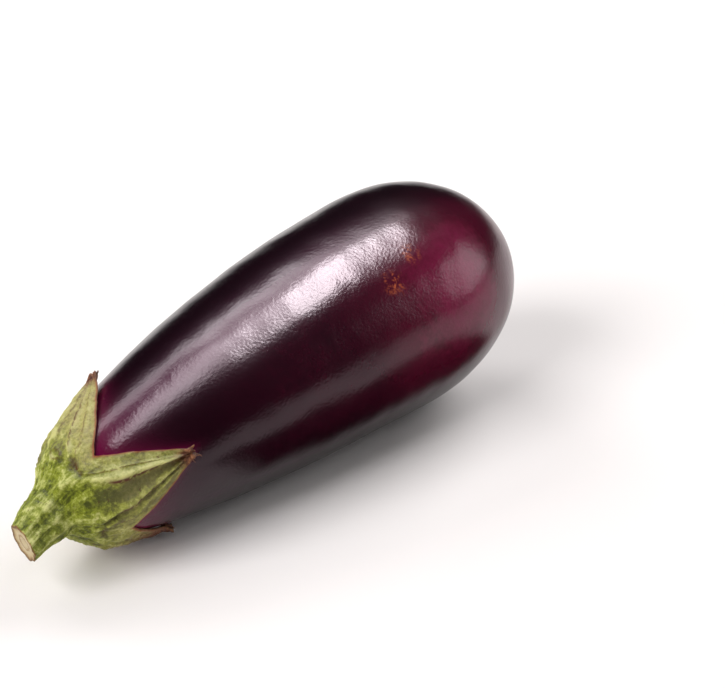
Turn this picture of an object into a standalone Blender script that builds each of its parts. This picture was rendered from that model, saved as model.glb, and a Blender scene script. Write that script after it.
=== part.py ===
"""An eggplant as picked, lying on its side: the fruit, the green calyx that caps its neck, and the
cut stem. Metres, +Z up. The fruit's blossom end points along +X and its stem end along -X.

Each piece is shaped in the fruit's own frame: the X axis is the fruit's axis, 0 at the neck's pole.
One empty then tilts and places all three as the fruit lies on a flat surface.
"""

import math

import bmesh
import bpy
from mathutils import Matrix, Vector

# Fruit
FRUIT_LENGTH = 0.220
BELLY_RADIUS = 0.0408
NECK_SHARE = 0.25  # radius that the taper starts from at the neck, as a share of the belly's
TAPER_ENDS_AT = 0.83  # share of the length where the taper reaches the belly's full radius
TAPER_POWER = 0.60
NECK_ROUNDING = 0.09  # share of the length that the neck's dome takes
NECK_POWER = 2.4
BLOSSOM_ROUNDING = 0.285  # share of the length that the blossom end's cap takes
BLOSSOM_POWER = 2.46
NECK_BEND = Vector((0, -0.0105, -0.0042))  # how far the neck's end curves off the fruit's axis
REST_TILT = math.radians(4.0)  # the fat blossom end lifts the axis this much when the fruit lies down
FLAT_DEPTH = 0.0005  # depth of the flat spot that the fruit rests on
FRUIT_SIDES = 48
FRUIT_ROWS = 40

# Calyx. Angles turn about the axis from +Y, so 90 degrees is the top and 180 degrees the front.
# Lobe tips: (angle, distance along the axis, how far the tip stands off the fruit)
LOBE_TIPS = (
    (math.radians(55), 0.038, 0.0022),
    (math.radians(160), 0.041, 0.0012),
    (math.radians(245), 0.041, 0.0006),
    (math.radians(300), 0.034, 0.0008),
    (math.radians(357), 0.037, 0.0014),
)
# Notches: (angle, distance along the axis), each one after the lobe of the same place above
NOTCHES = (
    (math.radians(118), 0.0120),
    (math.radians(209), 0.0185),
    (math.radians(272), 0.0175),
    (math.radians(329), 0.0160),
    (math.radians(385), 0.0140),
)
LOBE_POINT = 1.15  # above 1 the lobe's sides curve in towards its tip
CUP_EDGE = 0.0065  # distance along the axis where the flare from the stem has become the cup
CUP_SHARE = 0.42  # share of the calyx's rows that the flare takes
CUP_THICKNESS = 0.0026
MARGIN_THICKNESS = 0.0013
MIDRIB_HEIGHT = 0.0008
FRUIT_GAP = 0.0003
CALYX_SIDES = 80
CALYX_OUTER_ROWS = 16
CALYX_INNER_ROWS = 12

# Stem
STEM_BASE = Vector((-0.0048, -0.0114, -0.0056))  # centre of the joint between calyx and stem
STEM_DIRECTION = Vector((-0.969, -0.166, -0.185)).normalized()
STEM_LENGTH = 0.0115
STEM_BASE_RADIUS = 0.0082
STEM_WAIST_RADIUS = 0.0066
STEM_TIP_RADIUS = 0.0062
STEM_DROOP = 0.0010  # how far the stem's tip hangs below a straight line
STEM_FLUTES = 5
FLUTE_DEPTH = 0.0005
CUT_SLOPE = 0.35  # slope of the knife cut across the stem's end, longest at the front
STEM_GAP = 0.0003
STEM_SIDES = 40
STEM_ROWS = 8


def smooth_step(x):
    """0 below 0, 1 above 1, and an even curve between."""
    x = min(max(x, 0.0), 1.0)
    return x * x * (3 - 2 * x)


def fruit_radius(share):
    """The fruit's radius at a share of its length, from 0 at the neck's pole to 1 at the blossom end."""
    taper = math.sin(math.pi / 2 * min(share / TAPER_ENDS_AT, 1)) ** TAPER_POWER
    body = BELLY_RADIUS * (NECK_SHARE + (1 - NECK_SHARE) * taper)
    neck = max(1 - share / NECK_ROUNDING, 0)
    blossom = max((share - 1) / BLOSSOM_ROUNDING + 1, 0)
    return body * math.sqrt(max(1 - neck**NECK_POWER, 0) * max(1 - blossom**BLOSSOM_POWER, 0))


def station_of(distance):
    """The station, an angle from 0 to pi along the fruit's outline, at a distance along its axis."""
    return math.acos(1 - 2 * distance / FRUIT_LENGTH)


def outline(station):
    """(distance along the axis, radius) at a station."""
    share = (1 - math.cos(station)) / 2
    return share * FRUIT_LENGTH, fruit_radius(share)


def on_fruit(station, angle, lift=0.0):
    """A point on the fruit's skin, or lifted off it at right angles."""
    distance, radius = outline(station)
    step = 1e-4
    before, after = outline(max(station - step, 0)), outline(min(station + step, math.pi))
    along = Vector((after[0] - before[0], after[1] - before[1])).normalized()
    bend = NECK_BEND * (1 - distance / FRUIT_LENGTH) ** 2
    distance -= along.y * lift
    radius += along.x * lift
    return bend + Vector((distance, radius * math.cos(angle), radius * math.sin(angle)))


def lobe_at(angle):
    """The lobe's number at an angle, and how far from its tip the angle is: 0 there, 1 at a notch."""
    turn = 2 * math.pi
    first = NOTCHES[-1][0] - turn
    angle = (angle - first) % turn + first
    lobe = sum(angle > notch for notch, _ in NOTCHES[:-1])
    tip = LOBE_TIPS[lobe][0] - (turn if LOBE_TIPS[lobe][0] > NOTCHES[lobe][0] else 0)
    side = lobe if angle > tip else lobe - 1
    notch = NOTCHES[side][0] - (turn if side < 0 else 0)
    return lobe, side, (angle - tip) / (notch - tip)


def margin_distance(angle):
    """How far along the fruit's axis the calyx reaches at an angle."""
    lobe, side, from_tip = lobe_at(angle)
    tip, notch = LOBE_TIPS[lobe][1], NOTCHES[side][1]
    return notch + (tip - notch) * (1 - from_tip) ** LOBE_POINT


def tip_lift(angle, share):
    """How far the calyx stands off the fruit: nothing on the cup, most at the lobes' tips."""
    lobe, _, from_tip = lobe_at(angle)
    return LOBE_TIPS[lobe][2] * (1 - from_tip) * smooth_step((share - 0.5) / 0.5)


def calyx_station(angle, share):
    """The station under the calyx at a share of the way from the stem to the calyx's margin."""
    cup = station_of(CUP_EDGE)
    if share < CUP_SHARE:
        return cup * share / CUP_SHARE
    return cup + (station_of(margin_distance(angle)) - cup) * (share - CUP_SHARE) / (1 - CUP_SHARE)


def stem_axes():
    """Two directions across the stem, close to the fruit's own +Y and +Z."""
    upward = (Vector((0, 0, 1)) - STEM_DIRECTION * STEM_DIRECTION.z).normalized()
    return upward.cross(STEM_DIRECTION).normalized() * -1, upward


def around_stem(angle, radius):
    """A point at a radius around the stem's axis, counted from that axis."""
    sideways, upward = stem_axes()
    return (sideways * math.cos(angle) + upward * math.sin(angle)) * radius


def calyx_outside(angle, share):
    """A point on the calyx's outer face: the stem's joint at 0, then the flare, the cup and the margin."""
    _, _, from_tip = lobe_at(angle)
    thickness = CUP_THICKNESS + (MARGIN_THICKNESS - CUP_THICKNESS) * smooth_step((share - 0.3) / 0.7)
    thickness += MIDRIB_HEIGHT * (1 - from_tip) ** 3 * math.sin(math.pi * share)
    lift = FRUIT_GAP + thickness + tip_lift(angle, share)
    cup_point = on_fruit(calyx_station(angle, share), angle, lift)
    joint_point = STEM_BASE + around_stem(angle, STEM_BASE_RADIUS)
    return joint_point.lerp(cup_point, smooth_step(share / CUP_SHARE) ** 0.8)


def calyx_inside(angle, share):
    """A point on the calyx's inner face, just clear of the fruit's skin."""
    return on_fruit(calyx_station(angle, share), angle, FRUIT_GAP + tip_lift(angle, share))


def add_tube(mesh, rings, sides, point_at):
    """Adds rings of vertices joined by faces, and gives the rings. point_at places each vertex."""
    loops = []
    for ring in range(rings):
        angles = [2 * math.pi * i / sides for i in range(sides)]
        loops.append([mesh.verts.new(point_at(ring, angle)) for angle in angles])
    for first, second in zip(loops, loops[1:]):
        for i in range(sides):
            j = (i + 1) % sides
            mesh.faces.new((first[i], first[j], second[j], second[i]))
    return loops


def close_ring(mesh, ring):
    """Closes a ring with triangles to a vertex at its middle, and gives that vertex."""
    middle = mesh.verts.new(sum((v.co for v in ring), Vector()) / len(ring))
    for i, vertex in enumerate(ring):
        mesh.faces.new((vertex, ring[(i + 1) % len(ring)], middle))
    return middle


def make_object(name, mesh, colour, roughness, parent):
    """An object of this mesh, with its faces pointing out, its own material and smooth shading."""
    bmesh.ops.recalc_face_normals(mesh, faces=mesh.faces[:])
    data = bpy.data.meshes.new(name)
    mesh.to_mesh(data)
    mesh.free()
    data.shade_smooth()
    data.set_sharp_from_angle(angle=math.radians(50))
    material = bpy.data.materials.new(name)
    material.use_nodes = True
    shader = material.node_tree.nodes["Principled BSDF"]
    shader.inputs["Base Color"].default_value = (*colour, 1)
    shader.inputs["Roughness"].default_value = roughness
    shader.inputs["Metallic"].default_value = 0.0
    data.materials.append(material)
    made = bpy.data.objects.new(name, data)
    made.parent = parent
    bpy.context.scene.collection.objects.link(made)
    return made


def make_fruit(parent):
    """The whole fruit, cut by the plane that it rests on."""
    mesh = bmesh.new()

    def skin(ring, angle):
        return on_fruit(math.pi * (ring + 1) / (FRUIT_ROWS + 1), angle)

    rings = add_tube(mesh, FRUIT_ROWS, FRUIT_SIDES, skin)
    for ring, pole in ((rings[0], 0.0), (rings[-1], math.pi)):
        close_ring(mesh, ring).co = on_fruit(pole, 0)
    tilt = Matrix.Rotation(-REST_TILT, 3, "Y")
    lowest = min((tilt @ v.co).z for v in mesh.verts)
    level = tilt.inverted() @ Vector((0, 0, lowest + FLAT_DEPTH))
    down = tilt.inverted() @ Vector((0, 0, -1))
    everything = mesh.verts[:] + mesh.edges[:] + mesh.faces[:]
    cut = bmesh.ops.bisect_plane(
        mesh, geom=everything, plane_co=level, plane_no=down, clear_outer=True, dist=1e-7
    )
    rim = [e for e in cut["geom_cut"] if isinstance(e, bmesh.types.BMEdge)]
    bmesh.ops.contextual_create(mesh, geom=rim)
    return make_object("fruit", mesh, (0.030, 0.004, 0.016), 0.22, parent)


def make_calyx(parent):
    """The calyx: a cup over the fruit's neck with five pointed lobes, thinning towards its margin."""
    mesh = bmesh.new()
    first_inside = 0.08  # share where the inner face's smallest ring sits, around the neck's pole

    def outside(ring, angle):
        return calyx_outside(angle, ring / (CALYX_OUTER_ROWS - 1))

    def inside(ring, angle):
        return calyx_inside(angle, first_inside + (1 - first_inside) * ring / (CALYX_INNER_ROWS - 1))

    outer = add_tube(mesh, CALYX_OUTER_ROWS, CALYX_SIDES, outside)
    inner = add_tube(mesh, CALYX_INNER_ROWS, CALYX_SIDES, inside)
    for i in range(CALYX_SIDES):
        j = (i + 1) % CALYX_SIDES
        mesh.faces.new((outer[-1][i], outer[-1][j], inner[-1][j], inner[-1][i]))
    close_ring(mesh, outer[0])
    close_ring(mesh, inner[0]).co = on_fruit(0.0, 0.0, FRUIT_GAP)
    return make_object("calyx", mesh, (0.20, 0.28, 0.06), 0.60, parent)


def make_stem(parent):
    """The fluted stub of stem, with a slightly slanting knife cut across its end."""
    mesh = bmesh.new()
    sideways, _ = stem_axes()

    def bark(ring, angle):
        share = ring / (STEM_ROWS - 1)
        radius = STEM_WAIST_RADIUS + (STEM_BASE_RADIUS - STEM_WAIST_RADIUS) * (1 - smooth_step(share / 0.6))
        radius += (STEM_TIP_RADIUS - STEM_WAIST_RADIUS) * smooth_step((share - 0.6) / 0.4)
        radius += FLUTE_DEPTH * math.cos(STEM_FLUTES * angle) * smooth_step(share / 0.3)
        across = around_stem(angle, radius)
        length = STEM_GAP + (STEM_LENGTH - STEM_GAP) * share
        length -= CUT_SLOPE * across.dot(sideways) * smooth_step((share - 0.5) / 0.5)
        droop = Vector((0, 0, -STEM_DROOP * share * share))
        return STEM_BASE + STEM_DIRECTION * length + across + droop

    rings = add_tube(mesh, STEM_ROWS, STEM_SIDES, bark)
    close_ring(mesh, rings[0])
    close_ring(mesh, rings[-1])
    return make_object("stem", mesh, (0.26, 0.33, 0.08), 0.55, parent)


def put_origin_under(pieces, parent):
    """Moves the parent so that the pieces' box stands on the origin, centred over it."""
    bpy.context.view_layer.update()
    points = [piece.matrix_world @ v.co for piece in pieces for v in piece.data.vertices]
    low = Vector([min(p[k] for p in points) for k in range(3)])
    high = Vector([max(p[k] for p in points) for k in range(3)])
    parent.location = (-(low.x + high.x) / 2, -(low.y + high.y) / 2, -low.z)


def main():
    for old in list(bpy.data.objects):
        bpy.data.objects.remove(old)
    lying = bpy.data.objects.new("lying", None)
    lying.rotation_euler = (0, -REST_TILT, 0)
    bpy.context.scene.collection.objects.link(lying)
    put_origin_under([make_fruit(lying), make_calyx(lying), make_stem(lying)], lying)


main()
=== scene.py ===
import math

import bmesh
import bpy
from mathutils import Matrix, Vector, noise


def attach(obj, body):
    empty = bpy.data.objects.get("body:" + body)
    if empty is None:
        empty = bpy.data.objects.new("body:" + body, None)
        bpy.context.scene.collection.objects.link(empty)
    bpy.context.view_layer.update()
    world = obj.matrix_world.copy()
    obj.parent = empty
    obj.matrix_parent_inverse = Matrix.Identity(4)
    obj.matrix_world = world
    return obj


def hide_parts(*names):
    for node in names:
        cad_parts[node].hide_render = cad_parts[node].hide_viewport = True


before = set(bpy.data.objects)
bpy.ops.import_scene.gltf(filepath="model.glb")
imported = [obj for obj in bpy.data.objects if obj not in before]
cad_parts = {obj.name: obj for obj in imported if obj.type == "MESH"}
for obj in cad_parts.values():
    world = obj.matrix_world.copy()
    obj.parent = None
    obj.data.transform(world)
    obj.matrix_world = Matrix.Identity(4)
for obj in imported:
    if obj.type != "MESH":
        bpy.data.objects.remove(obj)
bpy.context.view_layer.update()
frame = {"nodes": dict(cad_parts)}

print("frame loaded:", ", ".join(frame["nodes"]))


def rise(x, start, end):
    # 0 up to the start and 1 from the end on, with a smooth climb between
    x = min(max((x - start) / (end - start), 0.0), 1.0)
    return x * x * (3 - 2 * x)


def hump(x, width):
    # 1 where x is 0, and fading out about this far away
    return math.exp(-((x / width) ** 2))


def wrapped(degrees):
    return (degrees + 180) % 360 - 180


def ringPoint(degrees, scale=1.0, height=0.0):
    # noise read here joins up at 0 and 360 degrees
    angle = math.radians(degrees)
    return Vector((math.cos(angle), math.sin(angle), 0)) * scale + Vector((0, 0, height))


def fractal(point, size, octaves, seed):
    # noise of about -1 to 1 whose largest lumps are about this size
    return noise.fractal(point / size + Vector((seed, seed * 1.7, -seed)), 0.6, 2.1, octaves)


def addObject(name, mesh, materials):
    data = bpy.data.meshes.new(name)
    mesh.to_mesh(data)
    mesh.free()
    for material in materials:
        data.materials.append(material)
    thing = bpy.data.objects.new(name, data)
    bpy.context.scene.collection.objects.link(thing)
    return thing


def finishPiece(name, mesh, materials, node):
    bmesh.ops.recalc_face_normals(mesh, faces=mesh.faces[:])
    piece = addObject(name, mesh, materials)
    piece.data.shade_smooth()
    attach(piece, "root")
    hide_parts(node)
    print(name, "made,", len(piece.data.polygons), "faces")


class MaterialNodes:
    # one material's nodes: each call adds a node, fed by the sockets or numbers that it is given
    def __init__(self, name):
        self.material = bpy.data.materials.new(name)
        self.material.use_nodes = True
        self.tree = self.material.node_tree
        self.shader = self.tree.nodes["Principled BSDF"]
        self.count = 0
        self.place = self.add("ShaderNodeTexCoord").outputs["Object"]

    def add(self, kind, **settings):
        column, row = divmod(self.count, 6)
        self.count += 1
        node = self.tree.nodes.new(kind)
        node.location = (200 * column - 2600, 700 - 240 * row)
        for key, value in settings.items():
            setattr(node, key, value)
        return node

    def feed(self, socket, value):
        if isinstance(value, bpy.types.NodeSocket):
            self.tree.links.new(value, socket)
        else:
            socket.default_value = (*value, 1) if isinstance(value, tuple) else value

    def attribute(self, name):
        return self.add("ShaderNodeAttribute", attribute_name=name).outputs["Fac"]

    def noise(self, scale, detail, roughness, distortion=0.0):
        node = self.add("ShaderNodeTexNoise")
        self.feed(node.inputs["Vector"], self.place)
        for key, value in (("Scale", scale), ("Detail", detail), ("Roughness", roughness),
                           ("Distortion", distortion)):
            self.feed(node.inputs[key], value)
        return node.outputs["Fac"]

    def between(self, value, low, high, toLow=0.0, toHigh=1.0, kind="SMOOTHSTEP"):
        node = self.add("ShaderNodeMapRange", interpolation_type=kind)
        for key, given in (("Value", value), ("From Min", low), ("From Max", high), ("To Min", toLow),
                           ("To Max", toHigh)):
            self.feed(node.inputs[key], given)
        return node.outputs["Result"]

    def math(self, operation, a, b):
        node = self.add("ShaderNodeMath", operation=operation)
        self.feed(node.inputs[0], a)
        self.feed(node.inputs[1], b)
        return node.outputs[0]

    def plus(self, a, b):
        return self.math("ADD", a, b)

    def times(self, a, b):
        return self.math("MULTIPLY", a, b)

    def mix(self, share, a, b):
        node = self.add("ShaderNodeMix", data_type="RGBA")
        for number, value in ((0, share), (6, a), (7, b)):  # the colour inputs of a Mix node are 6 and 7
            self.feed(node.inputs[number], value)
        return node.outputs[2]

    def near(self, point, low, high):
        # 1 within the distance low of a point, and 0 beyond high
        node = self.add("ShaderNodeVectorMath", operation="DISTANCE")
        self.feed(node.inputs[0], self.place)
        self.feed(node.inputs[1], point)
        return self.between(node.outputs["Value"], low, high, 1.0, 0.0)

    def bump(self, height, strength, depth, under=None):
        node = self.add("ShaderNodeBump")
        for key, value in (("Height", height), ("Strength", strength), ("Distance", depth)):
            self.feed(node.inputs[key], value)
        if under:
            self.feed(node.inputs["Normal"], under)
        return node.outputs["Normal"]

    def finish(self, settings):
        for key, value in settings.items():
            self.feed(self.shader.inputs[key], value)
        return self.material


# The fruit is shaped along its own axis, 0 at the neck's pole, and then laid down.
# Angles turn about that axis: 90 degrees is the top and 180 degrees the front.
fruitShape = {
    "length": 0.220,
    "belly": 0.0408,
    "neckShare": 0.25,
    "taperEnds": 0.83,
    "taperPower": 0.60,
    "neckRounding": 0.09,
    "neckPower": 2.4,
    "blossomRounding": 0.285,
    "blossomPower": 2.46,
    "neckBend": Vector((0, -0.0105, -0.0042)),
    "tilt": math.radians(4.0),
    "place": Vector((-0.1011, 0.0007, 0.0301)),
    "rows": 200,
    "sides": 256,
    "lumps": (0.00028, 0.035),  # height and size of the broad, shallow unevenness
    "dimple": (0.0016, 0.0065),  # depth and width of the blossom end's dimple
    "stub": (0.0005, 0.0017),  # height and radius of the corky scar that the flower left in it
    "restHeight": 0.0004,  # below this the skin gives where it rests
}


def fruitRadius(share):
    s = fruitShape
    taper = math.sin(math.pi / 2 * min(share / s["taperEnds"], 1)) ** s["taperPower"]
    body = s["belly"] * (s["neckShare"] + (1 - s["neckShare"]) * taper)
    neck = max(1 - share / s["neckRounding"], 0)
    blossom = max((share - 1) / s["blossomRounding"] + 1, 0)
    return body * math.sqrt(max(1 - neck ** s["neckPower"], 0) * max(1 - blossom ** s["blossomPower"], 0))


def outlineAt(station):
    # stations run from 0 at the neck's pole to pi at the blossom end
    share = (1 - math.cos(station)) / 2
    return share * fruitShape["length"], fruitRadius(share)


def stationOf(distance):
    return math.acos(1 - 2 * distance / fruitShape["length"])


def bendAt(distance):
    return fruitShape["neckBend"] * (1 - distance / fruitShape["length"]) ** 2


def onFruit(station, degrees, lift=0.0):
    # a point on the skin, or lifted off it at right angles
    distance, radius = outlineAt(station)
    before, after = outlineAt(max(station - 1e-4, 0)), outlineAt(min(station + 1e-4, math.pi))
    along = Vector((after[0] - before[0], after[1] - before[1])).normalized()
    bend = bendAt(distance)
    distance -= along.y * lift
    radius += along.x * lift
    angle = math.radians(degrees)
    return bend + Vector((distance, radius * math.cos(angle), radius * math.sin(angle)))


def laidDown():
    return Matrix.Translation(fruitShape["place"]) @ Matrix.Rotation(-fruitShape["tilt"], 4, "Y")


skinLook = {
    "dark": (0.0042, 0.0006, 0.0024),
    "wine": (0.0200, 0.0008, 0.0060),
    "red": (0.0800, 0.0022, 0.0160),
    "rosy": (0.2000, 0.0090, 0.0500),
    "paintedSheen": (0.0750, 0.0040, 0.0360),  # painted sheen: the violet band along the upper front that stands for the overhead light on the skin
    "underCalyx": (0.1150, 0.0018, 0.0320),
    "scar": (0.4600, 0.0950, 0.0350),
    "scarPlaces": [(0.154, 128, 0.0054), (0.141, 137, 0.0066)],  # distance along, angle, reach
    "cork": (0.1900, 0.1050, 0.0560),
    "swells": (160.0, 0.14, 0.0005),  # scale, strength and depth
    "pebbles": (950.0, 0.38, 0.00017),
    "roughness": 0.22,
    "glossTint": (1.0, 0.86, 0.93),
}


def makeSkinMaterial():
    look = skinLook
    m = MaterialNodes("eggplantSkin")
    patches, mottle = m.noise(45.0, 4.0, 0.6), m.noise(420.0, 5.0, 0.7)
    uneven = m.plus(m.between(patches, 0.3, 0.7, -0.10, 0.10, "LINEAR"),
                    m.between(mottle, 0.3, 0.7, -0.07, 0.07, "LINEAR"))
    # the unevenness grows with the blush, so the dark skin stays dark
    blush = m.attribute("blush")
    blush = m.plus(blush, m.times(uneven, m.plus(blush, 0.15)))
    colour = m.mix(m.between(blush, 0.0, 0.30, kind="LINEAR"), look["dark"], look["wine"])
    colour = m.mix(m.between(blush, 0.25, 0.70, kind="LINEAR"), colour, look["red"])
    colour = m.mix(m.between(blush, 0.65, 1.0, kind="LINEAR"), colour, look["rosy"])
    # painted sheen along the upper front
    colour = m.mix(m.attribute("paintedSheen"), colour, look["paintedSheen"])
    colour = m.mix(m.attribute("underCalyx"), colour, look["underCalyx"])
    specks = m.between(m.noise(1300.0, 3.0, 0.6), 0.38, 0.56)
    threads = m.between(m.noise(380.0, 6.0, 0.75, 0.5), 0.45, 0.58)
    for distance, degrees, reach in look["scarPlaces"]:
        near = m.near(laidDown() @ onFruit(stationOf(distance), degrees), reach * 0.1, reach)
        colour = m.mix(m.times(m.times(near, specks), threads), colour, look["scar"])
    cork = m.times(m.attribute("corky"), m.between(mottle, 0.3, 0.6, 0.5, 1.0))
    colour = m.mix(cork, colour, look["cork"])
    scale, strength, depth = look["swells"]
    normal = m.bump(m.noise(scale, 2.0, 0.5), strength, depth)
    scale, strength, depth = look["pebbles"]
    normal = m.bump(m.noise(scale, 2.0, 0.45), strength, depth, normal)
    return m.finish({"Base Color": colour, "Normal": normal, "Roughness": look["roughness"], "IOR": 1.44,
                     "Specular Tint": look["glossTint"]})


skinBlush = {
    # darker on the top and back, redder on the front and towards the blossom end; the fade back to dark under the
    # fruit is painted shade
    "least": 0.03,
    "front": 0.26,
    "middle": 0.36,  # more of it towards the blossom end of the front
    "patch": 0.30,
    "patchPlace": (0.169, 153),  # distance along, angle
    "patchSize": (0.017, 24),
    "end": 0.16,
    # the painted sheen along the upper front: its strength, the angle of its middle and its half width
    "paintedSheen": 0.55,
    "paintedSheenAngle": 109,
    "paintedSheenWidth": 14,
}


def blushAt(distance, degrees):
    b = skinBlush
    # past 182 degrees the blush fades back to dark: painted shade under the fruit
    front = rise(degrees, 84, 134) * (1 - rise(degrees, 182, 227))
    front *= 0.35 + 0.65 * rise(distance, 0.045, 0.095)
    middle = rise(distance, 0.105, 0.155) * (1 - 0.55 * rise(distance, 0.178, 0.200))
    (along, angle), (halfLength, halfAngle) = b["patchPlace"], b["patchSize"]
    patch = hump(distance - along, halfLength) * hump(wrapped(degrees - angle), halfAngle)
    end = rise(distance, 0.185, 0.215)
    redness = b["least"] + front * (b["front"] + b["middle"] * middle) + b["patch"] * patch + b["end"] * end
    return min(redness, 1)


def makeFruit():
    s = fruitShape
    mesh = bmesh.new()
    previous = None
    for row in range(s["rows"] + 1):
        distance, radius = outlineAt(math.pi * row / s["rows"])
        vertex = mesh.verts.new((distance, radius if 0 < row < s["rows"] else 0, 0))
        if previous:
            mesh.edges.new((previous, vertex))
        previous = vertex
    bmesh.ops.spin(mesh, geom=mesh.verts[:] + mesh.edges[:], cent=(0, 0, 0), axis=(1, 0, 0), angle=2 * math.pi,
                   steps=s["sides"], use_merge=True, use_duplicate=False)
    bmesh.ops.remove_doubles(mesh, verts=mesh.verts[:], dist=1e-7)
    under, blush, paintedSheen, corky = (mesh.verts.layers.float.new(name)
                                  for name in ("underCalyx", "blush", "paintedSheen", "corky"))
    matrix = laidDown()
    lumpHeight, lumpSize = s["lumps"]
    dimpleDepth, dimpleWidth = s["dimple"]
    stubHeight, stubRadius = s["stub"]
    rest = s["restHeight"]
    for vertex in mesh.verts:
        distance, radius = vertex.co.x, math.hypot(vertex.co.y, vertex.co.z)
        degrees = math.degrees(math.atan2(vertex.co.z, vertex.co.y)) % 360
        vertex[blush] = blushAt(distance, degrees)
        # painted sheen: a band along the upper front, fading out towards the blossom end
        paintedSheenShare = skinBlush["paintedSheen"] * hump(wrapped(degrees - skinBlush["paintedSheenAngle"]), skinBlush["paintedSheenWidth"])
        vertex[paintedSheen] = paintedSheenShare * (1 - rise(distance, 0.12, 0.17))
        # the skin is paler and pinker where the calyx has shaded it
        if distance < 0.07:
            beyond = max(distance - marginAt(degrees), 0)
            reach = 0.0022 + 0.0080 * lobeAt(degrees)[1] ** 2
            vertex[under] = math.exp(-beyond / reach) if distance > 0.003 else 1
        if radius > 1e-6:
            lump = lumpHeight * fractal(vertex.co, lumpSize, 3, 1.3) * min(radius / 0.02, 1)
            vertex.co.y *= 1 + lump / radius
            vertex.co.z *= 1 + lump / radius
        if distance > s["length"] * 0.8:
            vertex.co.x -= dimpleDepth * hump(radius, dimpleWidth)
            vertex.co.x += stubHeight * math.exp(-((radius / stubRadius) ** 4))
        onEnd = rise(distance, s["length"] - 0.004, s["length"] - 0.001)
        vertex[corky] = onEnd * (1 - rise(radius / stubRadius, 0.9, 1.8))
        vertex.co += bendAt(distance)
        vertex.co = matrix @ vertex.co
        if vertex.co.z < rest:
            vertex.co.z = rest * math.exp((vertex.co.z - rest) / rest)
    finishPiece("eggplantFruit", mesh, [makeSkinMaterial()], "fruit")


greenLook = {
    "pale": (0.530, 0.530, 0.190),
    "green": (0.195, 0.225, 0.015),
    "deep": (0.045, 0.052, 0.004),
    "brown": (0.085, 0.022, 0.012),
    "aged": (0.480, 0.400, 0.172),
    "edge": (0.250, 0.070, 0.026),
    "dry": (0.085, 0.026, 0.014),
    "dryPale": (0.320, 0.140, 0.060),
    "wrinkles": (520.0, 0.50, 0.0006),  # scale, strength and depth
    "hairs": (2100.0, 0.45, 0.00022),
    "roughness": 0.60,
}
# the attributes that the green material reads, on the calyx and on the stem
greenAttributes = ("ribLightAndShade", "edge", "dry", "vein", "age")


def makeGreenMaterial(name, paler):
    look = greenLook
    m = MaterialNodes(name)
    ribLightAndShade, edge, dry, vein, age = (m.attribute(each) for each in greenAttributes)
    fine = m.noise(1000.0, 4.0, 0.7)
    # the tone runs from deep green in the hollows to pale on the ribs, partly painted shade and light that follow
    # the relief, partly random
    tone = m.plus(m.times(ribLightAndShade, 0.22), m.noise(210.0, 5.0, 0.62, 0.5))
    tone = m.plus(tone, m.times(fine, 0.45))
    tone = m.plus(tone, m.between(m.noise(560.0, 4.0, 0.65, 0.4), 0.3, 0.7, -0.07, 0.07, "LINEAR"))
    colour = m.mix(m.between(tone, 0.52, 0.80), look["deep"], look["green"])
    colour = m.mix(m.between(tone, 0.72 - paler, 1.02 - paler), colour, look["pale"])
    colour = m.mix(m.times(age, m.between(fine, 0.25, 0.75, 0.45, 1.0)), colour, look["aged"])
    specks = m.times(m.between(m.noise(330.0, 5.0, 0.7, 0.8), 0.62, 0.71), 0.8)
    colour = m.mix(specks, colour, look["brown"])
    dashes = m.times(vein, m.between(m.noise(620.0, 3.0, 0.6), 0.38, 0.52))
    colour = m.mix(dashes, colour, look["brown"])
    colour = m.mix(edge, colour, look["edge"])
    dried = m.mix(m.between(fine, 0.4, 0.7), look["dry"], look["dryPale"])
    colour = m.mix(dry, colour, dried)
    scale, strength, depth = look["wrinkles"]
    normal = m.bump(m.noise(scale, 5.0, 0.65, 0.6), strength, depth)
    scale, strength, depth = look["hairs"]
    normal = m.bump(m.noise(scale, 3.0, 0.6), strength, depth, normal)
    return m.finish({"Base Color": colour, "Normal": normal, "Roughness": look["roughness"],
                     "Specular IOR Level": 0.28, "Sheen Weight": 0.04, "Sheen Roughness": 0.4,
                     "Subsurface Weight": 0.05, "Subsurface Radius": Vector((0.0012, 0.0014, 0.0006))})


stemShape = {
    "base": Vector((-0.0048, -0.0114, -0.0056)),
    "direction": Vector((-0.969, -0.166, -0.185)).normalized(),
    "length": 0.0115,
    "hidden": 0.0012,  # the length that the calyx covers
    "baseRadius": 0.0082,
    "waistRadius": 0.0066,
    "tipRadius": 0.0062,
    "droop": 0.0010,
    "cutSlope": 0.35,
    # flutes: angle, half width in degrees, height
    "flutes": [(36, 18, 0.0010), (78, 14, 0.0009), (116, 13, 0.0012), (152, 10, 0.0007), (184, 13, 0.0011),
               (220, 12, 0.0008), (262, 17, 0.0010), (308, 17, 0.0009), (348, 15, 0.0007)],
    "grooves": 0.0004,  # how far the skin between the flutes is sunk
    "streaks": 15.0,  # the fine ribs that run from the calyx along the stem, and how much paler they are painted: painted light on their raised lines and painted shade on the sunk ones
    "streakLightAndShade": 0.5,
    "fluteLightAndShade": 1 / 0.0018,  # painted light: paleness for each metre of a flute's height, and painted shade in the grooves
    "sides": 240,
    "rows": 96,
    "barkShare": 0.68,  # the rows' share that runs along the bark; the rest closes the cut face
}
# height and size of the rough relief that the calyx and stem share
barkRelief = {"coarse": (0.00034, 0.0050), "fine": (0.00020, 0.0018)}


def bark(point):
    (coarse, coarseSize), (fine, fineSize) = barkRelief["coarse"], barkRelief["fine"]
    return coarse * fractal(point, coarseSize, 3, 2.0) + fine * fractal(point, fineSize, 4, 5.0)


def stemAxes():
    direction = stemShape["direction"]
    upward = (Vector((0, 0, 1)) - direction * direction.z).normalized()
    return direction.cross(upward).normalized(), upward


def fluteAt(degrees):
    height = sum(top * hump(wrapped(degrees - angle), width) for angle, width, top in stemShape["flutes"])
    return height - stemShape["grooves"]


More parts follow.
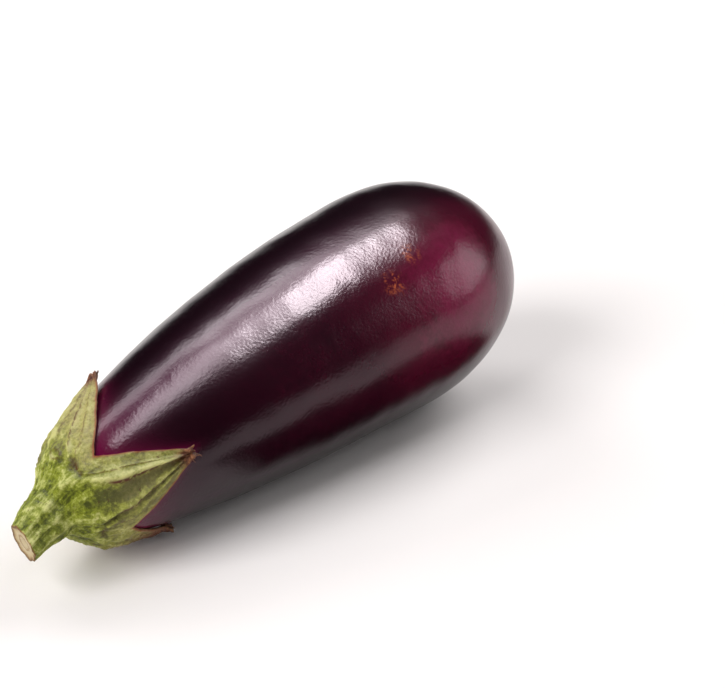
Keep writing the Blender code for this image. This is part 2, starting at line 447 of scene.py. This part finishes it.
def stemPoint(degrees, distance, shrink=1.0):
    # distance runs from the calyx (0) to the cut (the stem's length)
    s = stemShape
    sideways, upward = stemAxes()
    share = distance / s["length"]
    radius = s["waistRadius"] + (s["baseRadius"] - s["waistRadius"]) * (1 - rise(share, 0, 0.75))
    radius += (s["tipRadius"] - s["waistRadius"]) * rise(share, 0.6, 1) + fluteAt(degrees)
    angle = math.radians(degrees)
    across = (sideways * math.cos(angle) + upward * math.sin(angle)) * radius * shrink
    length = distance - s["cutSlope"] * across.dot(sideways) * rise(share, 0.45, 1)
    droop = Vector((0, 0, -s["droop"] * max(share, 0) ** 2))
    return s["base"] + s["direction"] * length + across + droop


cutRings = [
    # share of the way from the pith to the bark, colour
    (0.00, (0.44, 0.36, 0.21)), (0.30, (0.47, 0.39, 0.24)), (0.42, (0.28, 0.18, 0.08)),
    (0.52, (0.50, 0.42, 0.27)), (0.78, (0.44, 0.34, 0.18)), (0.90, (0.22, 0.13, 0.06)), (1.00, (0.12, 0.07, 0.03)),
]


def makeCutMaterial():
    m = MaterialNodes("stemCut")
    fibre = m.noise(700.0, 5.0, 0.7)
    wobbly = m.plus(m.attribute("radial"), m.times(m.math("SUBTRACT", fibre, 0.5), 0.22))
    ramp = m.add("ShaderNodeValToRGB")
    rings = ramp.color_ramp.elements
    while len(rings) < len(cutRings):
        rings.new(0.5)
    for ring, (position, colour) in zip(rings, cutRings):
        ring.position = position
        ring.color = (*colour, 1)
    m.feed(ramp.inputs[0], wobbly)
    return m.finish({"Base Color": ramp.outputs[0], "Normal": m.bump(fibre, 0.6, 0.0006), "Roughness": 0.75})


def makeStem(green, cut):
    s = stemShape
    mesh = bmesh.new()
    ribLightAndShade, edge = (mesh.verts.layers.float.new(name) for name in greenAttributes[:2])
    for name in greenAttributes[2:]:
        mesh.verts.layers.float.new(name)
    radial = mesh.verts.layers.float.new("radial")
    bmesh.ops.create_grid(mesh, x_segments=s["sides"], y_segments=s["rows"], size=0.5)
    matrix = laidDown()
    for vertex in mesh.verts:
        degrees, share = (vertex.co.x + 0.5) * 360, vertex.co.y + 0.5
        if share < s["barkShare"]:
            distance = -s["hidden"] + (s["length"] + s["hidden"]) * share / s["barkShare"]
            point = stemPoint(degrees, distance)
            outward = (point - stemPoint(degrees, distance, 0.0)).normalized()
            streaks = noise.noise(ringPoint(degrees, s["streaks"], -distance * 60))
            clear = rise(distance, 0, 0.002)  # 0 where the calyx begins
            relief = bark(point) * (1 - 0.45 * clear) + 0.00014 * streaks * clear
            inside = 0.0004 * rise(-distance, 0, 0.0008)  # the end that the calyx covers
            vertex.co = matrix @ (point + outward * (relief - inside))
            # painted light on the flutes and streaks, painted shade in the grooves between them
            vertex[ribLightAndShade] = fluteAt(degrees) * s["fluteLightAndShade"] + s["streakLightAndShade"] * streaks
            vertex[radial] = 1
            vertex[edge] = 0.9 * rise(distance, s["length"] - 0.0006, s["length"])
        else:
            shrink = 1 - 0.985 * (share - s["barkShare"]) / (1 - s["barkShare"])
            point = stemPoint(degrees, s["length"], shrink)
            # the cut face is dished, with sunken pith
            dip = -0.0005 * rise(1 - shrink, 0, 0.25) - 0.0006 * hump(shrink, 0.22)
            dip += 0.00016 * fractal(point, 0.0015, 3, 6.0)
            vertex.co = matrix @ (point + s["direction"] * dip)
            vertex[radial] = shrink
    bmesh.ops.remove_doubles(mesh, verts=mesh.verts[:], dist=2e-6)
    bmesh.ops.holes_fill(mesh, edges=[e for e in mesh.edges if e.is_boundary], sides=0)
    for face in mesh.faces:
        capped = len(face.verts) >= 100  # one of the two faces that close the ends
        if min(v[radial] for v in face.verts) < 0.999 and not capped:
            face.material_index = 1
    finishPiece("eggplantStem", mesh, [green, cut], "stem")


calyxShape = {
    # Each lobe has its tip and the notch after it (angle, distance along the axis), how far its tip
    # lifts off the skin, and how its sides curve in (above 1). Its folds are a place across it
    # (-1 to 1), half width, height and paleness, where the paleness paints light on a crest and shade
    # in a valley, and its thin brown lines a place, half width and strength. Then come how far it has
    # turned tan, how far it has dried brown, and its dried threads.
    "lobes": [
        {"tip": (55, 0.0385), "notch": (118, 0.0132), "lift": 0.0022, "point": 1.20,
         "folds": [(-0.72, 0.12, 0.0006, 0.2), (-0.38, 0.12, 0.0008, 0.5), (0.05, 0.13, 0.0010, 0.7),
                   (0.26, 0.13, -0.0005, -0.2), (0.46, 0.07, 0.0008, 0.5), (0.74, 0.10, 0.0005, 0.2)],
         "lines": [(0.45, 0.034, 0.9), (0.14, 0.025, 0.7), (-0.20, 0.025, 0.6), (0.70, 0.024, 0.6)],
         "ageing": 0.85, "dryReach": 0.011, "threads": 9},
        {"tip": (160, 0.0412), "notch": (209, 0.0182), "lift": 0.0010, "point": 1.45,
         "folds": [(-0.57, 0.05, 0.0006, 0.3), (-0.33, 0.14, 0.0022, 1.3), (0.06, 0.20, -0.0011, -1.6),
                   (0.34, 0.08, 0.0014, 0.5), (0.46, 0.07, -0.0006, -0.9), (0.58, 0.09, 0.0010, 0.2),
                   (0.80, 0.10, 0.0004, -0.5)],
         "lines": [(-0.195, 0.060, 1.3), (0.405, 0.038, 1.2), (-0.55, 0.025, 0.6), (0.66, 0.025, 0.6),
                   (-0.02, 0.020, 0.2)],
         "ageing": 0.40, "dryReach": 0.012, "threads": 15},
        {"tip": (245, 0.0412), "notch": (272, 0.0175), "lift": 0.0006, "point": 1.30,
         "folds": [(-0.62, 0.10, 0.0006, 0.1), (-0.30, 0.11, 0.0009, 0.4), (0.02, 0.13, 0.0014, 0.7),
                   (0.24, 0.12, -0.0006, -0.5), (0.50, 0.10, 0.0009, 0.3)],
         "lines": [(-0.18, 0.030, 0.8), (0.16, 0.025, 0.6), (0.60, 0.025, 0.5)],
         "ageing": 0.45, "dryReach": 0.042, "threads": 7},
        {"tip": (300, 0.0342), "notch": (329, 0.0160), "lift": 0.0008, "point": 1.30,
         "folds": [(-0.48, 0.11, 0.0008, 0.3), (-0.18, 0.12, -0.0005, -0.5), (0.08, 0.12, 0.0013, 0.8),
                   (0.55, 0.11, 0.0008, 0.3)],
         "lines": [(-0.36, 0.030, 0.7), (0.20, 0.030, 0.8)],
         "ageing": 0.55, "dryReach": 0.011, "threads": 6},
        {"tip": (357, 0.0372), "notch": (385, 0.0140), "lift": 0.0014, "point": 1.30,
         "folds": [(-0.64, 0.10, 0.0006, 0.3), (-0.28, 0.12, 0.0011, 0.6), (0.00, 0.12, -0.0006, -0.5),
                   (0.24, 0.11, 0.0012, 0.7), (0.60, 0.11, 0.0007, 0.2)],
         "lines": [(-0.16, 0.030, 0.8), (0.36, 0.030, 0.7), (-0.50, 0.020, 0.5)],
         "ageing": 0.60, "dryReach": 0.012, "threads": 7},
    ],
    "bluntness": 0.05,  # the share of a lobe's width that its tip keeps
    # Shares run from 0 at the stem to 1 at the margin.
    "cupEdge": 0.0065,  # distance along the axis where the flare from the stem becomes the cup
    "cupShare": 0.36,
    "cupThickness": 0.0026,
    "marginThickness": 0.0008,
    "skinGap": 0.0002,
    # hollows under the notches, sunk and painted darker as painted shade, and browner: angle, share, half widths,
    # depth
    "hollows": [(112, 0.50, 13, 0.085, 0.0014), (209, 0.55, 8, 0.06, 0.0009), (272, 0.52, 8, 0.06, 0.0009),
                (329, 0.52, 8, 0.06, 0.0010), (25, 0.50, 8, 0.06, 0.0010)],
    # a painted highlight on the upper back of the shoulder, where the light falls, and a darker place on the
    # front: angle, share, half widths, paleness
    "paintedHighlightAndDarkPlace": [(39, 0.30, 18, 0.12, 0.9), (150, 0.42, 16, 0.10, -0.5)],
    "ring": (77, 0.43, 0.0018, 0.0006),  # a round scar: angle, share, radius, height
    "sides": 480,
    "outerRows": 130,
    "innerRows": 30,
    "innerStart": 0.06,  # the share where the hollow over the neck's pole begins
}


def lobeAt(degrees):
    # the lobe's number, and the place across it: -1 and 1 at its notches, 0 at its tip
    lobes = calyxShape["lobes"]
    first = lobes[-1]["notch"][0] - 360
    degrees = (degrees - first) % 360 + first
    number = sum(degrees > lobe["notch"][0] for lobe in lobes[:-1])
    tip, after = lobes[number]["tip"][0], lobes[number]["notch"][0]
    if degrees > tip:
        return number, (degrees - tip) / (after - tip)
    before = lobes[number - 1]["notch"][0] if number else first
    return number, (degrees - tip) / (tip - before)


def reachBeside(number, across):
    # how far along the axis a lobe's tip and its nearer notch are
    lobes = calyxShape["lobes"]
    return lobes[number]["tip"][1], lobes[number if across > 0 else number - 1]["notch"][1]


def marginAt(degrees):
    # how far along the axis the calyx reaches at an angle
    number, across = lobeAt(degrees)
    tip, notch = reachBeside(number, across)
    blunt = calyxShape["bluntness"]
    pointed = max(abs(across) - blunt, 0) / (1 - blunt)
    reach = notch + (tip - notch) * (1 - pointed) ** calyxShape["lobes"][number]["point"]
    return reach + 0.0005 * fractal(ringPoint(degrees, 0.02), 0.004, 3, 3.1)


def placeAcross(number, across, distance):
    # how far across the lobe a point lies where the lobe has narrowed: -1 to 1 at its margins
    tip, notch = reachBeside(number, across)
    width = 1.0
    if distance > notch:
        width = 1 - min((distance - notch) / (tip - notch), 1) ** (1 / calyxShape["lobes"][number]["point"])
    return max(min(across / max(width, 0.03), 1.2), -1.2)


def calyxStation(degrees, share):
    # the station on the fruit under a point of the calyx, and how far it is past the cup (0 to 1)
    s = calyxShape
    cup = stationOf(s["cupEdge"])
    if share <= s["cupShare"]:
        return cup * share / s["cupShare"], 0.0
    beyond = (share - s["cupShare"]) / (1 - s["cupShare"])
    return cup + (stationOf(marginAt(degrees)) - cup) * beyond, beyond


def calyxLift(degrees, beyond, distance):
    # how far the sheet stands off the skin, and how near it is to the lobe's dried tip (0 to 1)
    number, across = lobeAt(degrees)
    lobe = calyxShape["lobes"][number]
    place = placeAcross(number, across, distance)
    nearTip = 1 - rise(lobe["tip"][1] - distance + abs(across) * 0.010, 0, 0.0085)
    lift = lobe["lift"] * (1 - abs(across)) * rise(beyond, 0.45, 1)
    wave = 0.0007 * max(noise.noise(ringPoint(degrees, 7.0)), 0) * rise(beyond, 0.75, 1)
    trough = nearTip * (0.0015 * place * place - 0.0002)
    frill = 0.0006 * nearTip * noise.noise(ringPoint(degrees, 26.0, distance * 500))
    return max(lift + wave + trough + frill, 0), nearTip


def calyxRelief(degrees, share, distance):
    # height in metres, paleness and brownness of the folds, lines and hollows; the paleness paints light on the
    # crests and shade in the valleys and hollows
    s = calyxShape
    number, across = lobeAt(degrees)
    lobe = s["lobes"][number]
    wobble = 0.035 * noise.noise(ringPoint(degrees, 2.0, share * 9))
    place = placeAcross(number, across, distance) + wobble
    spread = 1 + 0.55 * (1 - rise(share, 0.46, 0.64))  # the folds fan out below the notches
    height = pale = brown = 0.0
    # the folds' paleness is painted light on their crests and painted shade in their valleys
    for centre, width, top, tone in lobe["folds"]:
        shape = math.exp(-(abs((place - centre * spread) / width) ** 1.7)) * rise(share, 0.42, 0.56)
        height += top * shape * (1 - 0.4 * rise(share, 0.9, 1))
        pale += tone * shape
    for centre, width, strength in lobe["lines"]:
        brown += strength * hump(place - centre * spread, width) * rise(share, 0.50, 0.62)
    for angle, level, halfAngle, halfLevel, depth in s["hollows"]:
        away = (wrapped(degrees - angle) / halfAngle) ** 2 + ((share - level) / halfLevel) ** 2
        away *= 1 + 0.9 * noise.noise(ringPoint(degrees, 6.0, share * 11))
        height -= depth * math.exp(-away)
        # painted shade in the hollows, and some brown
        pale -= 1.1 * math.exp(-away)
        brown += 0.8 * math.exp(-away * 2.2) * depth / 0.0015
    # the painted highlight on the shoulder, and the darker place on the front
    for angle, level, halfAngle, halfLevel, tone in s["paintedHighlightAndDarkPlace"]:
        pale += tone * hump(wrapped(degrees - angle), halfAngle) * hump(share - level, halfLevel)
    # the stem's flutes run out over the shoulders, and one turns into the long front fold
    turned = 114 + 75 * (share - 0.20)
    ridge = hump(wrapped(degrees - turned), 6.5) * rise(share, 0.08, 0.23) * (1 - rise(share, 0.44, 0.56))
    flutes = fluteAt(degrees) * (1 - rise(share, 0.20, 0.54))
    streaks = noise.noise(ringPoint(degrees, stemShape["streaks"], share * 2.2))
    height += 0.0011 * ridge + 0.9 * flutes * rise(share, 0, 0.25) + 0.00022 * streaks * rise(share, 0.05, 0.35)
    # painted light on the long front fold, the flutes and the streaks, and painted shade between them
    pale += 0.35 * ridge + flutes * stemShape["fluteLightAndShade"] + stemShape["streakLightAndShade"] * streaks
    angle, level, radius, top = s["ring"]
    away = math.hypot(wrapped(degrees - angle) * 0.00021, (share - level) * 0.042)  # in metres
    circle = hump(away - radius, 0.00045)
    return height + top * circle, pale, min(brown + 0.55 * circle, 1.0)


def bezier(a, b, c, d, t):
    u = 1 - t
    return a * u ** 3 + b * 3 * u * u * t + c * 3 * u * t * t + d * t ** 3


def calyxOutside(degrees, share):
    s = calyxShape
    station, beyond = calyxStation(degrees, share)
    distance = outlineAt(station)[0]
    lift = calyxLift(degrees, beyond, distance)[0]
    relief, pale, brown = calyxRelief(degrees, share, distance)
    thickness = s["cupThickness"] + (s["marginThickness"] - s["cupThickness"]) * rise(beyond, 0, 1)
    if share >= s["cupShare"]:
        base = onFruit(station, degrees)
        outward = (onFruit(station, degrees, 0.001) - base).normalized()
        point = base + outward * (s["skinGap"] + thickness + lift)
    else:
        # the flare leaves the stem in the stem's line and meets the cup in the cup's
        t = share / s["cupShare"]
        cup = stationOf(s["cupEdge"])
        height = s["skinGap"] + thickness
        end = onFruit(cup, degrees, height)
        tangent = (onFruit(cup + 0.02, degrees, height) - end).normalized()
        start = stemPoint(degrees, 0)
        lead = (start - stemPoint(degrees, 0.0005)).normalized()
        reach = (end - start).length
        point = bezier(start, start + lead * reach * 0.40, end - tangent * reach * 0.45, end, t)
        fruitSide = (onFruit(cup, degrees, 0.001) - onFruit(cup, degrees)).normalized()
        stemSide = (start - stemPoint(degrees, 0, 0.0)).normalized()
        outward = stemSide.lerp(fruitSide, rise(t, 0, 1)).normalized()
    edgeFade = 0.25 + 0.75 * rise(1 - beyond, 0, 0.06)  # the relief thins out at the very edge
    barkFade = 1 - 0.5 * rise(beyond, 0.85, 1)
    return point + outward * (relief * edgeFade + bark(point) * barkFade), pale, brown, distance


threadShape = {
    "thickness": (0.00072, 0.00028),  # radius at its root and at its end
    "length": 0.0036,
    "lengthVaries": 0.0022,
    "root": 0.0026,  # how far back from the lobe's tip it starts
    "rootVaries": 0.0016,
    "spreads": 5,  # degrees either side of the tip
}


def addThreads(mesh, matrix):
    # the dried threads at the tips: thin cones, bent
    s = threadShape
    for number, lobe in enumerate(calyxShape["lobes"]):
        tipAngle, tipDistance = lobe["tip"]
        for index in range(lobe["threads"]):
            turn = [noise.noise(Vector((number * 7.3 + index * 1.37, 4.1 * k, 0.5))) for k in range(1, 6)]
            rootDistance = tipDistance - s["root"] + turn[1] * s["rootVaries"]
            root = onFruit(stationOf(rootDistance), tipAngle + turn[0] * s["spreads"],
                           lobe["lift"] + 0.0005 + turn[2] * 0.0004)
            onTip = onFruit(stationOf(tipDistance), tipAngle)
            ahead = (onTip - onFruit(stationOf(tipDistance - 0.002), tipAngle)).normalized()
            outward = (onFruit(stationOf(tipDistance), tipAngle, 0.002) - onTip).normalized()
            sideways = ahead.cross(outward)
            length = s["length"] + s["lengthVaries"] * turn[3]
            thread = bmesh.new()
            dry = thread.verts.layers.float.new("dry")
            bmesh.ops.create_cone(thread, cap_ends=True, segments=6, radius1=s["thickness"][0],
                                  radius2=s["thickness"][1], depth=1.0)
            lengthwise = [e for e in thread.edges if abs(e.verts[0].co.z - e.verts[1].co.z) > 0.5]
            bmesh.ops.subdivide_edges(thread, edges=lengthwise, cuts=6, use_grid_fill=True)
            for vertex in thread.verts:
                t = vertex.co.z + 0.5
                curl = sideways * turn[4] * 1.3 + outward * (0.25 + 0.35 * turn[2])
                bent = ahead * (t - 0.25 * t * t) + curl * t * t
                vertex.co = matrix @ (root + bent * length + sideways * vertex.co.x + outward * vertex.co.y)
                vertex[dry] = 1.0
            data = bpy.data.meshes.new("thread")
            thread.to_mesh(data)
            thread.free()
            mesh.from_mesh(data)
            bpy.data.meshes.remove(data)


def makeCalyx(material):
    s = calyxShape
    lobes = s["lobes"]
    mesh = bmesh.new()
    ribLightAndShade, edge, dry, vein, age = (mesh.verts.layers.float.new(name) for name in greenAttributes)
    matrix = laidDown()
    # a sheet of angle by share for the outer face, and one for the inner face
    bmesh.ops.create_grid(mesh, x_segments=s["sides"], y_segments=s["outerRows"], size=0.5)
    outer = mesh.verts[:]
    inner = bmesh.ops.create_grid(mesh, x_segments=s["sides"], y_segments=s["innerRows"], size=0.5)["verts"]
    for vertex in outer:
        degrees, share = (vertex.co.x + 0.5) * 360 % 360, vertex.co.y + 0.5
        point, pale, brown, distance = calyxOutside(degrees, share)
        vertex.co = matrix @ point
        vertex[ribLightAndShade] = pale
        vertex[vein] = brown
        number, across = lobeAt(degrees)
        neighbour = lobes[(number + (1 if across > 0 else -1)) % len(lobes)]
        here, beside = lobes[number]["ageing"], neighbour["ageing"]
        vertex[age] = (here + (beside - here) * 0.5 * abs(across) ** 3) * rise(share, 0.30, 0.85)
        ragged = 0.0008 + 0.0005 * noise.noise(ringPoint(degrees, 40.0))
        vertex[edge] = hump(marginAt(degrees) - distance, ragged)
        fromTip = lobes[number]["tip"][1] - distance + abs(across) * 0.012
        dried = 1.7 * (1 - rise(fromTip, 0, lobes[number]["dryReach"])) - 0.25
        vertex[dry] = min(max(dried + 0.35 * noise.noise(vertex.co / 0.0015), 0), 1)
    for vertex in inner:
        degrees = (vertex.co.x + 0.5) * 360 % 360
        share = s["innerStart"] + (1 - s["innerStart"]) * (vertex.co.y + 0.5)
        station, beyond = calyxStation(degrees, share)
        lift, nearTip = calyxLift(degrees, beyond, outlineAt(station)[0])
        vertex.co = matrix @ onFruit(station, degrees, s["skinGap"] + lift)
        vertex[edge] = 0.5
        vertex[dry] = max(nearTip, 0.4)
    bmesh.ops.remove_doubles(mesh, verts=mesh.verts[:], dist=2e-6)
    # the sheets are joined at the margin and closed at the stem and over the neck's pole
    joint, pole = matrix @ stemShape["base"], matrix @ onFruit(0, 0)
    outerSet = {v for v in outer if v.is_valid}
    rims = {"outerStem": [], "outerMargin": [], "innerPole": [], "innerMargin": []}
    for e in mesh.edges:
        if e.is_boundary:
            middle = (e.verts[0].co + e.verts[1].co) / 2
            if e.verts[0] in outerSet:
                rims["outerStem" if (middle - joint).length < 0.0105 else "outerMargin"].append(e)
            else:
                rims["innerPole" if (middle - pole).length < 0.0035 else "innerMargin"].append(e)
    print("calyx rims:", {key: len(value) for key, value in rims.items()})
    bmesh.ops.bridge_loops(mesh, edges=rims["outerMargin"] + rims["innerMargin"])
    for key in ("outerStem", "innerPole"):
        bmesh.ops.contextual_create(mesh, geom=rims[key])
    addThreads(mesh, matrix)
    finishPiece("eggplantCalyx", mesh, [material], "calyx")


makeFruit()
makeCalyx(makeGreenMaterial("calyxGreen", 0.0))
makeStem(makeGreenMaterial("stemGreen", 0.01), makeCutMaterial())

floorLook = {"colour": (0.94, 0.895, 0.885), "roughness": 0.85, "size": 6.0}


def makeFloor():
    mesh = bmesh.new()
    bmesh.ops.create_grid(mesh, x_segments=1, y_segments=1, size=floorLook["size"])
    m = MaterialNodes("paleFloor")
    material = m.finish({"Base Color": floorLook["colour"], "Roughness": floorLook["roughness"],
                         "Specular IOR Level": 0.1})
    floor = addObject("floor", mesh, [material])


# a dark card that only the gloss sees, laid in front: the low part of the skin turns black over it
cardShape = {
    "low": (-0.032, -0.118),
    "high": (0.136, -0.034),
    "height": 0.0015,
    "softEdge": 0.018,
    "colour": (0.004, 0.002, 0.002),
}


def makeCard():
    (left, front), (right, back), soft = cardShape["low"], cardShape["high"], cardShape["softEdge"]
    mesh = bmesh.new()
    bmesh.ops.create_grid(mesh, x_segments=48, y_segments=24, size=0.5)
    cover = mesh.verts.layers.float.new("cover")
    for vertex in mesh.verts:
        x, y = left + (right - left) * (vertex.co.x + 0.5), front + (back - front) * (vertex.co.y + 0.5)
        vertex.co = Vector((x, y, cardShape["height"]))
        # the edge next to the fruit is half as soft
        vertex[cover] = rise(min(x - left, right - x), 0, soft) * rise(min(y - front, (back - y) * 2), 0, soft)
    m = MaterialNodes("blackCard")
    material = m.finish({"Base Color": cardShape["colour"], "Roughness": 1.0, "Specular IOR Level": 0.0,
                         "Alpha": m.attribute("cover")})
    card = addObject("darkCard", mesh, [material])
    card.visible_camera = False
    card.visible_diffuse = False
    card.visible_transmission = False
    card.visible_shadow = False


lightSetup = {
    # direction from the fruit, distance, width, depth, radiance, and what it lights
    "softbox": ((0.416, -0.062, 0.907), 1.15, 0.54, 0.19, 37.0, "gloss"),
    "softboxGlow": ((0.42, 0.29, 0.86), 1.20, 0.50, 0.35, 4.6, "gloss"),
    "overhead": ((0.110, -0.08, 0.990), 1.31, 0.80, 0.36, 10.5, "gloss"),
    "overheadLeft": ((0.02, 0.43, 0.89), 1.30, 1.04, 0.34, 6.0, "gloss"),
    "sideReflector": ((0.78, -0.52, 0.30), 1.30, 0.60, 0.60, 2.9, "gloss"),
    "keyLeft": ((-0.82, 0.05, 0.57), 1.80, 1.20, 1.20, 7.8, "colour"),
    "fillRight": ((0.82, 0.08, 0.57), 1.80, 1.20, 1.20, 5.2, "colour"),
    "fillBack": ((0.05, 0.82, 0.57), 1.80, 1.20, 1.20, 3.2, "colour"),
    "fillFront": ((0.00, -0.82, 0.57), 1.80, 1.20, 1.20, 1.4, "colour"),
}
studioGlow = 0.012  # the strength of the dim room round the lights


def makeLights():
    target = Vector((0.0, 0.0, 0.03))
    for name, (direction, distance, width, depth, radiance, lit) in lightSetup.items():
        data = bpy.data.lights.new(name, "AREA")
        data.shape = "RECTANGLE"
        data.size = width
        data.size_y = depth
        data.energy = radiance * math.pi * width * depth
        light = bpy.data.objects.new(name, data)
        towards = Vector(direction).normalized()
        light.location = target + towards * distance
        light.rotation_euler = towards.to_track_quat("Z", "Y").to_euler()
        light.visible_diffuse = lit == "colour"
        light.visible_glossy = lit == "gloss"
        bpy.context.scene.collection.objects.link(light)
    world = bpy.data.worlds.new("studio")
    bpy.context.scene.world = world
    world.use_nodes = True
    background = world.node_tree.nodes["Background"]
    background.inputs["Color"].default_value = (1, 1, 1, 1)
    background.inputs["Strength"].default_value = studioGlow


cameraSetup = {
    "azimuth": math.radians(-45.8),
    "elevation": math.radians(26.4),
    "distance": 0.88,
    "lens": 124.0,
    "aimAlong": 0.110,  # the point on the fruit's axis that it looks past
    "offset": (-0.0310, -0.0043),  # how far right of and above the view's centre that point lies
}


def makeCamera():
    s = cameraSetup
    azimuth, elevation = s["azimuth"], s["elevation"]
    back = Vector((math.sin(azimuth) * math.cos(elevation), -math.cos(azimuth) * math.cos(elevation),
                   math.sin(elevation)))
    right = Vector((math.cos(azimuth), math.sin(azimuth), 0))
    up = back.cross(right)
    data = bpy.data.cameras.new("camera")
    data.lens = s["lens"]
    data.clip_end = 20
    camera = bpy.data.objects.new("camera", data)
    aim = laidDown() @ Vector((s["aimAlong"], 0, 0))
    camera.location = aim + back * s["distance"] - right * s["offset"][0] - up * s["offset"][1]
    camera.rotation_euler = Matrix((right, up, back)).transposed().to_euler()
    bpy.context.scene.collection.objects.link(camera)
    bpy.context.scene.camera = camera


makeFloor()
makeCard()
makeLights()
makeCamera()
bpy.context.scene.view_settings.view_transform = "Standard"
print("floor, card, lights and camera made")
